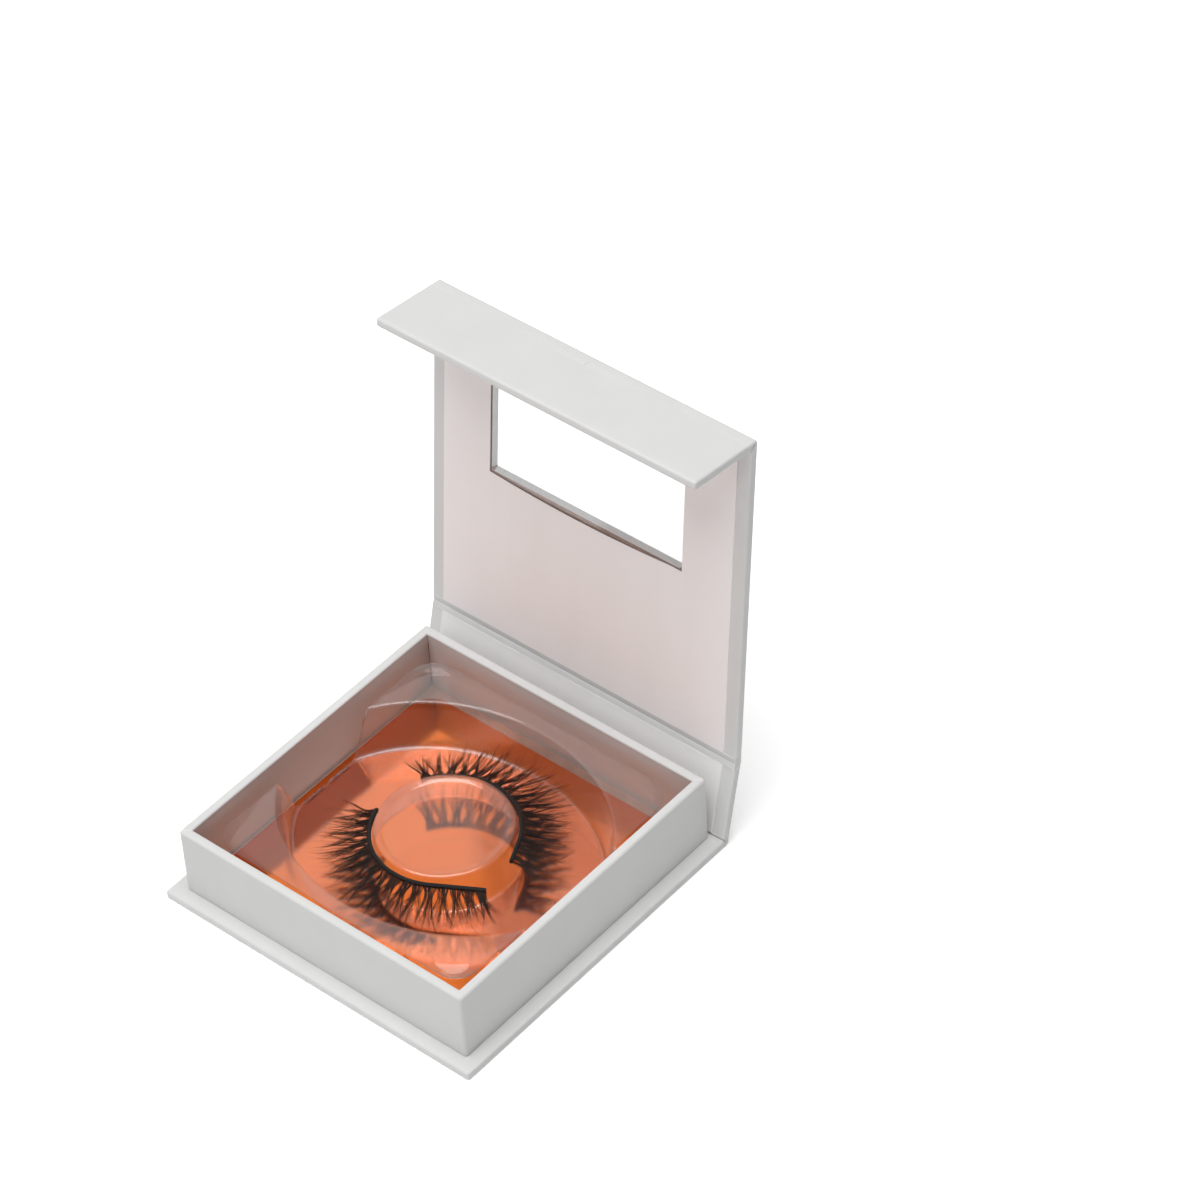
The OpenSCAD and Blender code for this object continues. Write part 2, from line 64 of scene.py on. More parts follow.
def foldPlace(parent, along, turn):
    deep = case["axisIn"]
    onAxis = parent @ Matrix.Translation((0, along, deep)) @ Matrix.Rotation(math.radians(turn), 4, "X")
    return onAxis @ Matrix.Translation((0, 0, -deep))


flatPlace = Matrix.Identity(4)
spinePlace = foldPlace(flatPlace, case["axisY"], case["spineTurn"])
lidPlace = foldPlace(spinePlace, case["spineSpan"], case["lidTurn"])
flapPlace = foldPlace(lidPlace, case["lidSpan"], case["flapTurn"])


# Mesh helpers

def lerp(a, b, t):
    return a + (b - a) * t


def clamp(value, low=0, high=1):
    return max(low, min(high, value))


def spaced(a, b, steps):
    return [lerp(a, b, k / steps) for k in range(steps + 1)]


def quarterArc(steps):
    return [math.pi / 2 * k / steps for k in range(steps + 1)]


def turned(x, y, a):
    return x * math.cos(a) - y * math.sin(a), x * math.sin(a) + y * math.cos(a)


def paperBend(x, z, radius, aims):
    # outer and inner points of paper that is bent round a centre
    return [tuple((x + r * across, z + r * up) for r in (radius, radius - paperT)) for across, up in aims]


def insideHole(hole, x, y):
    left, right, low, high = hole
    return left < x < right and low < y < high


def loopFaces(rows, count):
    # quads between closed loops of points, one loop after the other
    faces = []
    for i in range(rows - 1):
        for j in range(count):
            k = (j + 1) % count
            faces.append((i * count + j, i * count + k, (i + 1) * count + k, (i + 1) * count + j))
    return faces


def cappedLoops(rows):
    count = len(rows[0])
    verts = [p for row in rows for p in row]
    caps = [tuple(range(count)), tuple(len(verts) - count + j for j in reversed(range(count)))]
    return verts, loopFaces(len(rows), count) + caps


def solidSheet(outer, inner, closed=False, keep=None):
    rows, count = len(outer), len(outer[0])
    cols = count if closed else count - 1
    half = rows * count
    verts = [p for row in outer for p in row] + [p for row in inner for p in row]
    cells = [(i, j) for i in range(rows - 1) for j in range(cols) if keep is None or keep(i, j)]
    kept = set(cells)
    faces = []
    for i, j in cells:
        k = (j + 1) % count
        a, b, c, d = i * count + j, i * count + k, (i + 1) * count + k, (i + 1) * count + j
        faces.append((a, b, c, d))
        faces.append((half + d, half + c, half + b, half + a))
        before = (j - 1) % cols if closed else j - 1
        after = (j + 1) % cols if closed else j + 1
        for cell, p, q in (((i - 1, j), a, b), ((i + 1, j), c, d), ((i, before), d, a), ((i, after), b, c)):
            if cell not in kept:
                faces.append((q, p, half + p, half + q))
    return verts, faces


def addObject(name, data):
    made = bpy.data.objects.new(name, data)
    scene.collection.objects.link(made)
    return made


def makePiece(name, parts, place, body, material, replaced=(), sharp=38):
    verts, faces = [], []
    for partVerts, partFaces in parts:
        faces += [tuple(i + len(verts) for i in face) for face in partFaces]
        verts += partVerts
    mesh = bpy.data.meshes.new(name)
    mesh.from_pydata([(place @ Vector(p)) * mm for p in verts], [], faces)
    shape = bmesh.new()
    shape.from_mesh(mesh)
    bmesh.ops.remove_doubles(shape, verts=shape.verts, dist=1e-6)
    bmesh.ops.dissolve_degenerate(shape, dist=1e-7, edges=shape.edges)
    bmesh.ops.delete(shape, geom=[v for v in shape.verts if not v.link_faces], context="VERTS")
    bmesh.ops.recalc_face_normals(shape, faces=shape.faces)
    for face in shape.faces:
        face.smooth = True
    for edge in shape.edges:
        edge.smooth = edge.calc_face_angle(0) < math.radians(sharp)
    shape.to_mesh(mesh)
    shape.free()
    piece = addObject(name, mesh)
    mesh.materials.append(material)
    if replaced:
        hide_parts(*replaced)
    if body:
        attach(piece, body)
    return piece


# Camera, at the photograph's angle

view = dict(spot=(0.4644, -0.4554, 0.6748), azimuth=42.837, elevation=43.207, roll=-4.1, lens=153.95,
            sensor=36, near=0.01)


def addCamera():
    az, el, roll = (math.radians(view[key]) for key in ("azimuth", "elevation", "roll"))
    back = Vector((math.sin(az) * math.cos(el), -math.cos(az) * math.cos(el), math.sin(el)))
    right = Vector((math.cos(az), math.sin(az), 0))
    up = back.cross(right)
    across = math.cos(roll) * right + math.sin(roll) * up
    upward = -math.sin(roll) * right + math.cos(roll) * up
    data = bpy.data.cameras.new("photoCamera")
    data.lens = view["lens"]
    data.sensor_width = view["sensor"]
    data.clip_start = view["near"]
    camera = addObject("photoCamera", data)
    turn = Matrix((across, upward, back)).transposed()
    camera.matrix_world = Matrix.Translation(view["spot"]) @ turn.to_4x4()
    scene.camera = camera


addCamera()
print("camera set")


# Shader node groups, shared by the papers and boards

def srgb(r, g, b):
    shares = [v / 255 for v in (r, g, b)]
    return tuple(v / 12.92 if v <= 0.04 else ((v + 0.055) / 1.055) ** 2.4 for v in shares) + (1,)


def newGroup(name, inputs, outputs):
    group = bpy.data.node_groups.new(name, "ShaderNodeTree")
    for socket, default in inputs:
        made = group.interface.new_socket(name=socket, in_out="INPUT", socket_type="NodeSocketFloat")
        made.default_value = default
    for socket in outputs:
        group.interface.new_socket(name=socket, in_out="OUTPUT", socket_type="NodeSocketFloat")
    nodes, links = group.nodes, group.links
    return group, nodes, links, nodes.new("NodeGroupInput"), nodes.new("NodeGroupOutput")


def feed(links, socket, value):
    if isinstance(value, (int, float, tuple)):
        socket.default_value = value
    else:
        links.new(value, socket)


def mathNode(nodes, links, operation, first, second, clamp=False):
    node = nodes.new("ShaderNodeMath")
    node.operation = operation
    node.use_clamp = clamp
    feed(links, node.inputs[0], first)
    feed(links, node.inputs[1], second)
    return node.outputs[0]


def objectCoords(nodes):
    return nodes.new("ShaderNodeTexCoord").outputs["Object"]


def noiseNode(nodes, links, vector, scale, detail):
    node = nodes.new("ShaderNodeTexNoise")
    node.inputs["Detail"].default_value = detail
    links.new(vector, node.inputs["Vector"])
    feed(links, node.inputs["Scale"], scale)
    return node


def makePaperFibre():
    group, nodes, links, given, result = newGroup(
        "paperFibre", [("Fibre Scale", 2600), ("Mottle Scale", 90), ("Stretch", 1)], ["Fibre", "Mottle"])
    coords = objectCoords(nodes)
    split = nodes.new("ShaderNodeSeparateXYZ")
    links.new(coords, split.inputs[0])
    wide = mathNode(nodes, links, "MULTIPLY", split.outputs[0], given.outputs["Stretch"])
    stretched = nodes.new("ShaderNodeCombineXYZ")
    for socket, value in zip(stretched.inputs, (wide, split.outputs[1], split.outputs[2])):
        links.new(value, socket)
    fibre = noiseNode(nodes, links, coords, given.outputs["Fibre Scale"], 5)
    fibre.inputs["Roughness"].default_value = 0.62
    mottle = noiseNode(nodes, links, stretched.outputs[0], given.outputs["Mottle Scale"], 4)
    links.new(fibre.outputs[0], result.inputs["Fibre"])
    links.new(mottle.outputs[0], result.inputs["Mottle"])
    return group


def makeEdgeWearAndHighlight():
    # mask of the convex edges, by Pointiness: rubbed wear, and a painted highlight along the edges
    group, nodes, links, given, result = newGroup(
        "edgeWearAndHighlight", [("Start", 0.52), ("End", 0.64), ("Break Up", 700)], ["Mask"])
    geometry = nodes.new("ShaderNodeNewGeometry")
    span = nodes.new("ShaderNodeMapRange")
    links.new(geometry.outputs["Pointiness"], span.inputs["Value"])
    links.new(given.outputs["Start"], span.inputs["From Min"])
    links.new(given.outputs["End"], span.inputs["From Max"])
    coords = objectCoords(nodes)
    patches = noiseNode(nodes, links, coords, given.outputs["Break Up"], 3)
    broken = mathNode(nodes, links, "MULTIPLY", span.outputs[0], patches.outputs[0], clamp=True)
    links.new(broken, result.inputs["Mask"])
    return group


paperFibre = makePaperFibre()
edgeWearAndHighlight = makeEdgeWearAndHighlight()


def newMaterial(name):
    material = bpy.data.materials.new(name)
    material.use_nodes = True
    tree = material.node_tree
    return material, tree.nodes, tree.links, tree.nodes["Principled BSDF"]


def placeGroup(nodes, group, **values):
    node = nodes.new("ShaderNodeGroup")
    node.node_tree = group
    for socket, value in values.items():
        node.inputs[socket.replace("_", " ")].default_value = value
    return node


def mixColor(nodes, links, factor, first, second):
    node = nodes.new("ShaderNodeMix")
    node.data_type = "RGBA"
    for place, value in ((0, factor), (6, first), (7, second)):  # sockets of the colour mode
        feed(links, node.inputs[place], value)
    return node.outputs[2]


def addRoughness(nodes, links, shader, texture, amount, least):
    rough = mathNode(nodes, links, "MULTIPLY", texture, amount)
    links.new(mathNode(nodes, links, "ADD", rough, least), shader.inputs["Roughness"])


def addBump(nodes, links, shader, height, strength, depth):
    bump = nodes.new("ShaderNodeBump")
    bump.inputs["Strength"].default_value = strength
    bump.inputs["Distance"].default_value = depth
    links.new(height, bump.inputs["Height"])
    links.new(bump.outputs["Normal"], shader.inputs["Normal"])
    return bump


paperLook = dict(wearAndHighlightStart=0.52, wearAndHighlightEnd=0.66, wearAndHighlightBreak=900, grain=0.16, gloss=0.3, bumpDepth=0.00004)


def makePaper(name, settings):
    material, nodes, links, shader = newMaterial(name)
    fibre = placeGroup(nodes, paperFibre, Fibre_Scale=settings["fibreScale"],
                       Mottle_Scale=settings["mottleScale"], Stretch=settings["stretch"])
    wearAndHighlight = placeGroup(nodes, edgeWearAndHighlight, Start=paperLook["wearAndHighlightStart"], End=paperLook["wearAndHighlightEnd"],
                      Break_Up=paperLook["wearAndHighlightBreak"])
    mottled = mathNode(nodes, links, "MULTIPLY", fibre.outputs["Mottle"], settings["mottle"])
    toned = mixColor(nodes, links, mottled, srgb(*settings["color"]), srgb(*settings["shade"]))
    # edge colour on the masked edges: rubbed wear, and a painted highlight where the edge colour is lighter
    # than the paper
    wornAndHighlit = mathNode(nodes, links, "MULTIPLY", wearAndHighlight.outputs["Mask"], settings["wearAndHighlight"])
    links.new(mixColor(nodes, links, wornAndHighlit, toned, srgb(*settings["edge"])), shader.inputs["Base Color"])
    addRoughness(nodes, links, shader, fibre.outputs["Fibre"], paperLook["grain"], settings["roughness"])
    shader.inputs["Specular IOR Level"].default_value = paperLook["gloss"]
    addBump(nodes, links, shader, fibre.outputs["Fibre"], settings["bump"], paperLook["bumpDepth"])
    return material


wrapFinish = dict(color=(219, 219, 218), shade=(208, 208, 207), edge=(236, 236, 235), mottle=0.55, wearAndHighlight=0.6,
                  fibreScale=2600, mottleScale=140, stretch=1, roughness=0.5, bump=0.3)
# darker copy of the wrap paper for the tray's inner walls: painted shade inside the tray
trayShadeFinish = dict(wrapFinish, color=(190, 188, 187), shade=(178, 176, 175), edge=(200, 198, 197))
linerFinish = dict(color=(250, 246, 245), shade=(242, 236, 234), edge=(244, 239, 237), mottle=0.85, wearAndHighlight=0.4,
                   fibreScale=2200, mottleScale=45, stretch=3, roughness=0.55, bump=0.35)
# greyer, a little darker copy of the liner paper for the spine: painted shade on the spine's inner face
spineShadeFinish = dict(linerFinish, color=(244, 243, 242), shade=(236, 234, 233), edge=(240, 239, 238), stretch=1)
boardFinish = dict(color=(170, 140, 126), shade=(138, 110, 97), edge=(186, 160, 147), mottle=0.9, wearAndHighlight=0.5,
                   fibreScale=1500, mottleScale=500, stretch=1, roughness=0.75, bump=0.8)
tapeFinish = dict(color=(214, 198, 165), shade=(200, 182, 148), edge=(222, 208, 180), mottle=0.8, wearAndHighlight=0.3,
                  fibreScale=1900, mottleScale=260, stretch=2, roughness=0.6, bump=0.5)
wrapPaper = makePaper("wrapPaper", wrapFinish)
trayShadePaper = makePaper("trayShadePaper", trayShadeFinish)
linerPaper = makePaper("linerPaper", linerFinish)
spineShadeLining = makePaper("spineShadeLining", spineShadeFinish)
greyboard = makePaper("greyboard", boardFinish)
stayTape = makePaper("stayTape", tapeFinish)


foilFinish = dict(color=(0.97, 0.265, 0.055, 1), deep=(0.92, 0.215, 0.04, 1), drift=60, roughness=0.1,
                  grain=0.05, grainScale=1400, wave=0.5, waveScale=210, waveDepth=0.00006)


def makeFoil(settings):
    material, nodes, links, shader = newMaterial("copperFoil")
    coords = objectCoords(nodes)
    drift = noiseNode(nodes, links, coords, settings["drift"], 3)
    tone = mixColor(nodes, links, drift.outputs[0], settings["color"], settings["deep"])
    links.new(tone, shader.inputs["Base Color"])
    shader.inputs["Metallic"].default_value = 1
    fine = noiseNode(nodes, links, coords, settings["grainScale"], 4)
    addRoughness(nodes, links, shader, fine.outputs[0], settings["grain"], settings["roughness"])
    swell = noiseNode(nodes, links, coords, settings["waveScale"], 1)
    addBump(nodes, links, shader, swell.outputs[0], settings["wave"], settings["waveDepth"])
    return material


def makeClear(name, settings):
    # thin clear sheet: light goes straight through, and the glossy share follows the Fresnel curve
    material, nodes, links, shader = newMaterial(name)
    ior = settings["ior"]
    shader.inputs["Metallic"].default_value = settings["mirror"]
    shader.inputs["IOR"].default_value = ior
    coords = objectCoords(nodes)
    haze = noiseNode(nodes, links, coords, settings["hazeScale"], 3).outputs[0]
    links.new(mixColor(nodes, links, haze, settings["color"], settings["veil"]), shader.inputs["Base Color"])
    addRoughness(nodes, links, shader, haze, settings["haze"], settings["roughness"])
    bump = addBump(nodes, links, shader, haze, settings["wave"], settings["waveDepth"])
    geometry = nodes.new("ShaderNodeNewGeometry")
    flipped = mathNode(nodes, links, "MULTIPLY", geometry.outputs["Backfacing"], 1 / ior - ior)
    fresnel = nodes.new("ShaderNodeFresnel")
    links.new(mathNode(nodes, links, "ADD", flipped, ior), fresnel.inputs["IOR"])  # same gloss on both sides
    links.new(bump.outputs["Normal"], fresnel.inputs["Normal"])
    cover = mathNode(nodes, links, "ADD", fresnel.outputs[0], settings["cover"], clamp=True)
    through = nodes.new("ShaderNodeBsdfTransparent")
    through.inputs["Color"].default_value = settings["tint"]
    mixed = nodes.new("ShaderNodeMixShader")
    for socket, value in zip(mixed.inputs, (cover, through.outputs[0], shader.outputs[0])):
        links.new(value, socket)
    links.new(mixed.outputs[0], nodes["Material Output"].inputs["Surface"])
    return material


sheetFinish = dict(color=(0.93, 0.93, 0.94, 1), veil=(0.85, 0.85, 0.86, 1), tint=(0.97, 0.947, 0.94, 1),
                   mirror=0.8, ior=1.5, roughness=0.04, haze=0.08, hazeScale=160, cover=0.015,
                   wave=0.25, waveDepth=0.00005)
filmFinish = dict(sheetFinish, tint=(0.985, 0.985, 0.985, 1), mirror=0.7, ior=1.45, roughness=0.05, haze=0.1,
                  hazeScale=90, wave=0.5, cover=0.03)
scene.cycles.transparent_max_bounces = 32  # the sheets are looked through many times
copperFoil = makeFoil(foilFinish)
clearSheet = makeClear("clearSheet", sheetFinish)
clearFilm = makeClear("clearFilm", filmFinish)


def makeStrand(name, settings):
    material, nodes, links, shader = newMaterial(name)
    coords = objectCoords(nodes)
    grain = noiseNode(nodes, links, coords, settings["scale"], 3).outputs[0]
    links.new(mixColor(nodes, links, grain, srgb(*settings["color"]), srgb(*settings["light"])),
              shader.inputs["Base Color"])
    addRoughness(nodes, links, shader, grain, settings["grain"], settings["roughness"])
    addBump(nodes, links, shader, grain, settings["bump"], settings["bumpDepth"])
    shader.inputs["Specular IOR Level"].default_value = settings["gloss"]
    return material


threadFinish = dict(color=(20, 18, 18), light=(38, 34, 33), scale=3200, roughness=0.5, grain=0.2, gloss=0.15,
                    bump=0.8, bumpDepth=0.00003)
fibreFinish = dict(threadFinish, color=(24, 17, 15), light=(46, 32, 27), scale=900, roughness=0.34,
                   gloss=0.25, bump=0.1)
magnetFinish = dict(color=(176, 176, 178), wornAndHighlit=(214, 214, 212), wearAndHighlightEnd=0.62, wearAndHighlightBreak=1500, roughness=0.28)
blackThread = makeStrand("blackThread", threadFinish)
lashFibre = makeStrand("lashFibre", fibreFinish)


def makeMagnet(settings):
    material, nodes, links, shader = newMaterial("nickelPlate")
    wearAndHighlight = placeGroup(nodes, edgeWearAndHighlight, Start=paperLook["wearAndHighlightStart"], End=settings["wearAndHighlightEnd"],
                      Break_Up=settings["wearAndHighlightBreak"])
    # lighter nickel on the convex edges: worn plating, and a painted highlight
    links.new(mixColor(nodes, links, wearAndHighlight.outputs["Mask"], srgb(*settings["color"]), srgb(*settings["wornAndHighlit"])),
              shader.inputs["Base Color"])
    shader.inputs["Metallic"].default_value = 1
    shader.inputs["Roughness"].default_value = settings["roughness"]
    return material


nickelPlate = makeMagnet(magnetFinish)
hiddenPieces = [
    (greyboard, ["base_board", "tray_board", "spine_board", "lid_board", "flap_board"]),
    (stayTape, ["tray_corner_stays"]),
    (nickelPlate, ["tray_magnets", "flap_magnets"]),
]
for finish, nodeNames in hiddenPieces:
    for nodeName in nodeNames:
        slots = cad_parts[nodeName].data.materials
        slots.clear()
        slots.append(finish)
print("materials made")


# Wrapped panels: paper round the board's edges, turned in on the inner face

wrap = dict(edge=0.45, turnIn=9, flatFrom=0.6, corner=0.5, arcSteps=5, flatHalf=34)


def edgeRings(spread):
    # inset and height of the paper's outer and inner rings, from the turned-in edge to the outer face
    r, outer, inner = wrap["edge"], [], []
    for inset in (wrap["turnIn"], r + wrap["flatFrom"]):
        outer.append((inset, panelT))
        inner.append((inset, panelT - paperT))
    for low in (False, True):
        for a in quarterArc(wrap["arcSteps"]):
            turn = a if low else math.pi / 2 - a
            for rings, radius in ((outer, r), (inner, r - paperT)):
                depth = radius * math.sin(turn)
                rings.append((r - radius * math.cos(turn), r - depth if low else panelT - r + depth))
    for inset in spread:
        outer.append((inset, 0))
        inner.append((inset, paperT))
    return outer, inner


def uPath(fold, free, inset, sideSteps=12, cornerSteps=4):
    # round a panel's three free sides, from its fold and back to it
    way = 1 if free > fold else -1
    x, tip = panelW / 2 - inset, free - way * min(inset, 0.9 * abs(free - fold))
    r = max(wrap["corner"] - inset, 0.03)
    left = [(-x, y) for y in spaced(fold, tip - way * r, sideSteps)]
    for a in quarterArc(cornerSteps)[1:]:
        left.append((-x + r - r * math.cos(a), tip - way * r + way * r * math.sin(a)))
    across = [(px, tip) for px in spaced(-x + r, x - r, sideSteps)[1:-1]]
    return left + across + [(-px, py) for px, py in reversed(left)]


def freePanel(fold, free):
    half = panelW / 2
    return solidSheet(*[[[(x, y, z) for x, y in uPath(fold, free, inset)] for inset, z in rings]
                        for rings in edgeRings((1.5, 4, 9, half / 2, half - 0.02))])


def barPanel(end, xs, ys, hole=None):
    half, grids = panelW / 2, []
    for ring in edgeRings(()):
        side = [(-half + inset, z) for inset, z in ring]
        row = side + [(x, side[-1][1]) for x in xs] + [(-x, z) for x, z in reversed(side)]
        grids.append([[(x, y, z) for x, z in row] for y in [boardEnd] + ys + [end]])

    def keep(i, j):
        (x0, y0, z0), (x1, y1, _) = grids[0][i][j], grids[0][i + 1][j + 1]
        return not (hole and z0 < 0.01 and insideHole(hole, (x0 + x1) / 2, (y0 + y1) / 2))

    return solidSheet(*grids, keep=keep)


makePiece("basePaper", [freePanel(case["baseRear"], case["baseFront"])], flatPlace, "tray", wrapPaper,
          ["base_wrap"])
spineEnd = case["spineSpan"] - boardEnd
spineXs = spaced(-wrap["flatHalf"], wrap["flatHalf"], 16)
makePiece("spinePaper", [barPanel(spineEnd, spineXs, [5, 9, 13])], spinePlace, "spine", wrapPaper,
          ["spine_wrap"])
makePiece("flapPaper", [freePanel(boardEnd, case["flapTip"])], flapPlace, "flap", wrapPaper,
          ["flap_wrap"])
print("base, spine and flap wrapped")


# Lid: the window is cut through the paper, whose four tabs are turned in over the board's edge

window = dict(half=22.25, low=37.4, high=57.4, reveal=0.3, edge=0.3, tabBreak=0.9, tabLean=0.02, tabGap=0.02,
              tabShort=0.55)
windowMid = (window["low"] + window["high"]) / 2
lidEnd = case["lidSpan"] - boardEnd


def windowFrame(margin):
    return -window["half"] - margin, window["half"] + margin, window["low"] - margin, window["high"] + margin


def windowTab(along, centre, way, flip):
    r, lean, high = window["edge"], window["tabLean"], window["tabBreak"]
    top = panelT - paperT - window["tabGap"]
    bend = paperBend(r, r, r, [(-math.sin(a), -math.cos(a)) for a in quarterArc(5)])
    bend += [((0, high), (paperT, high)), ((lean, top), (paperT + lean, top))]
    grids = []
    for line in zip(*bend):
        rows = []
        for d, z in line:
            reach = along - window["tabShort"] * z / top
            row = [(s, centre + way * d, z) for s in spaced(-reach, reach, 10)]
            rows.append([(q, p, w) if flip else (p, q, w) for p, q, w in row])
        grids.append(rows)
    return solidSheet(*grids)


def lidTabs():
    halfHigh = (window["high"] - window["low"]) / 2
    tabs = [windowTab(window["half"], window[key], way, False) for key, way in (("low", -1), ("high", 1))]
    for side in (-1, 1):
        verts, faces = windowTab(halfHigh, side * window["half"], side, True)
        tabs.append(([(x, y + windowMid, z) for x, y, z in verts], faces))
    return tabs


lidHole = windowFrame(window["edge"])
lidXs = [-34, -30, -26, lidHole[0], -15, -7.5, 0, 7.5, 15, lidHole[1], 26, 30, 34]
lidYs = [6, 14, 22, 30, lidHole[2], 42, 47, 52, lidHole[3], 61, 66]
makePiece("lidPaper", [barPanel(lidEnd, lidXs, lidYs, lidHole)] + lidTabs(), lidPlace, "lid", wrapPaper,
          ["lid_wrap"])
print("lid wrapped")


# Liners: one sheet a panel, its edges a little loose

liner = dict(margin=2.8, thick=0.15, soft=0.05, wave=0.035, waveScale=0.09, beside=0.5, crowd=0.3)
slack = dict(sag=0.9, sagMid=-3, sagHalf=22.4, sagFade=4,  # bow of the lower edge of the lid liner's opening
             low=0.16, side=0.08, reach=2.2, halfX=25, halfY=13, midY=47)  # how far its edges stand off
linerHole = windowFrame(window["reveal"])


def windowBow(x, y):
    # the liner's opening was cut with a slight sag along its lower edge
    across = max(0, 1 - ((x - slack["sagMid"]) / slack["sagHalf"]) ** 2)
    return -slack["sag"] * across * math.exp(-((y - linerHole[2]) / slack["sagFade"]) ** 2)


def windowLift(x, y):
    low = max(0, 1 - abs(y - linerHole[2]) / slack["reach"]) * max(0, 1 - (x / slack["halfX"]) ** 2)
    side = max(0, 1 - abs(abs(x) - window["half"]) / slack["reach"])
    side *= max(0, 1 - ((y - slack["midY"]) / slack["halfY"]) ** 2)
    return slack["low"] * low + slack["side"] * side


def linerSheet(end, breaksX, breaksY, hole=None):
    soft, half, scale = liner["soft"], panelW / 2 - liner["margin"], liner["waveScale"]
    xs = [-half, -half + soft] + breaksX + [half - soft, half]
    ys = [boardEnd, boardEnd + soft] + breaksY + [end - soft, end]
    top, bottom = [], []
    for y in ys:
        upper, lower = [], []
        for x in xs:
            edge = x in (xs[0], xs[-1]) or y in (ys[0], ys[-1])
            shift = windowBow(x, y) if hole else 0
            raised = max(0, liner["wave"] * (0.5 + noise.noise(Vector((x * scale, y * scale, 3.1)))))
            raised += windowLift(x, y) if hole else 0
            upper.append((x, y + shift, panelT + liner["thick"] + raised - (soft if edge else 0)))
            lower.append((x, y + shift, panelT + raised))
        top.append(upper)
        bottom.append(lower)

    def keep(i, j):
        return not (hole and insideHole(hole, (xs[j] + xs[j + 1]) / 2, (ys[i] + ys[i + 1]) / 2))

    return solidSheet(top, bottom, keep=keep)


def breaksRound(breaks, low, high):
    # adds breaks on and beside the opening's edges, and drops those that crowd an edge
    breaks = sorted(breaks + [low - liner["beside"], low, high, high + liner["beside"]])
    return [b for b in breaks if all(abs(b - e) > liner["crowd"] or b == e for e in (low, high))]


lidBreaksX = breaksRound(spaced(-32, 32, 32), *linerHole[:2])
lidBreaksY = breaksRound(spaced(3, 68, 40), *linerHole[2:])
makePiece("lidLiner", [linerSheet(lidEnd, lidBreaksX, lidBreaksY, linerHole)], lidPlace, "lid", linerPaper,
          ["lid_liner"])
# the spine's liner takes the greyer copy of the liner paper, painted shade
makePiece("spineLiner", [linerSheet(spineEnd, spaced(-32, 32, 20), [4, 7, 10, 13])], spinePlace, "spine",
          spineShadeLining, ["spine_liner"])
makePiece("flapLiner", [linerSheet(case["flapTip"] - liner["margin"], spaced(-32, 32, 20), [4, 7, 10])],
          flapPlace, "flap", linerPaper, ["flap_liner"])
print("liners laid")


# Window film, glued between the board and the liner, slightly wavy

film = dict(lap=4.5, thick=0.12, gap=0.01, wave=0.05, halfX=25, halfY=13)


def filmSheet():
    left, right, low, high = windowFrame(film["lap"])
    grids = []
    for offset in (film["thick"], 0):
        rows = []
        for y in spaced(low, high, 24):
            row = []
            loose = max(0, 1 - ((y - windowMid) / film["halfY"]) ** 4)
            for x in spaced(left, right, 44):
                inside = max(0, 1 - (x / film["halfX"]) ** 4) * loose
                wave = film["wave"] * inside * noise.noise(Vector((x * 0.11, y * 0.16, 7.7)))
                row.append((x, y, panelT - paperT + film["gap"] + offset + abs(wave)))
            rows.append(row)
        grids.append(rows)
    return solidSheet(*grids)


makePiece("windowFilm", [filmSheet()], lidPlace, "lid", clearFilm, ["window_film"])


# Fold papers: the outer sheet goes round each fold, and an inner strip lines its hollow

fold = dict(steps=12, sideDepth=0.6, gap=0.02, slight=30, innerThick=0.12, innerRise=0.12, innerIn=0.08,
            endIn=0.12, endThick=0.1, endFar=1.6,
            endEdge=[(0.28, 0.3), (0.56, 0.75), (0.83, 1.18), (1.2, 1.22), (1.2, 1.6)])  # clears the base


def outerFold(turn, back, ahead):
    axis, half, r = case["axisIn"], panelW / 2, wrap["edge"]
    columns = [(-half, fold["sideDepth"])]
    columns += [(-half + r - r * math.cos(a), r - r * math.sin(a)) for a in quarterArc(4)]
    columns += [(x, 0) for x in spaced(-half + 1.5, 0, 12)]
    columns += [(-x, depth) for x, depth in reversed(columns[:-1])]
    line = [(y, 0) for y in spaced(-back, 0, 3)[:-1]]
    line += [(0, math.radians(a)) for a in spaced(0, turn, fold["steps"])]
    line += [(y, math.radians(turn)) for y in spaced(0, ahead, 4)[1:]]
    grids = []
    for paper in (0, paperT):
        rows = []
        for along, a in line:
            row = []
            for x, depth in columns:
                inX = x + (paper if depth and x < 0 else -paper if depth and x > 0 else 0)
                y, z = turned(along, min(depth + paper, axis - fold["gap"]) - axis, a)
                row.append((inX, y, axis + z))
            rows.append(row)
        grids.append(rows)
    return solidSheet(*grids)


